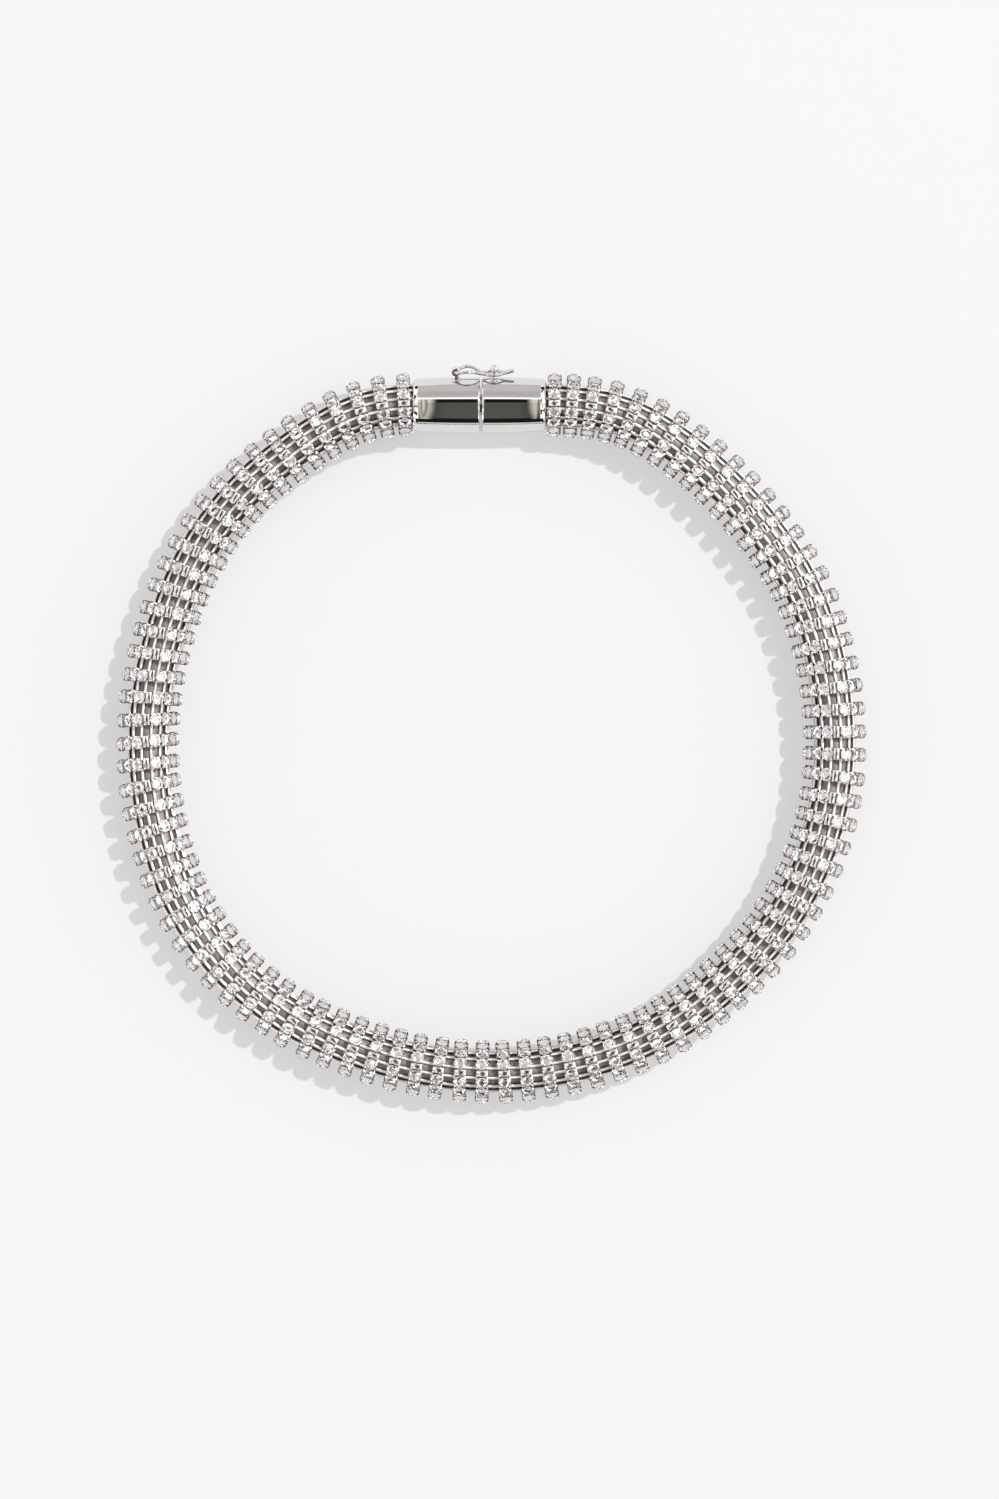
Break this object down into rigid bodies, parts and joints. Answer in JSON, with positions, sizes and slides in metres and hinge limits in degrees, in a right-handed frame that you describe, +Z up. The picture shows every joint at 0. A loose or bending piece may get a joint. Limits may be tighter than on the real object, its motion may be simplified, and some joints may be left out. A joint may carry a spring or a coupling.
{
  "type": "choker necklace",
  "caption": "Round choker rope made of rings of crystals on a cage of thin bars, closed by a polished tube clasp with a figure-eight safety catch.",
  "frame": {"origin": "bottom centre of the necklace's box, as it lies flat", "axes": "+X to the right with the clasp at the far side, +Y from the front of the loop to the clasp, +Z up"},
  "size_m": [0.1414, 0.139, 0.0122],
  "materials": {
    "tube_chrome": "mirror-polished rhodium plate",
    "cup_metal": "plated stamped cups",
    "crystal": "cut crystal with a silvered back",
    "bar_metal": "plated bars"
  },
  "bodies": {
    "necklace": {"rope_right": "cup_metal", "rope_left": "cup_metal", "clasp_socket_half": "tube_chrome", "clasp_plug_half": "tube_chrome", "clasp_tongue": "tube_chrome"},
    "safety_catch": {"safety_catch": "tube_chrome"}
  },
  "joints": [
    {"name": "catch_hinge", "type": "hinge", "parent": "necklace", "child": "safety_catch", "pos_m": [-0.00663, 0.0681, 0.0083], "axis": [0, -0.342, 0.9397], "range_deg": [0, 120]}
  ]
}
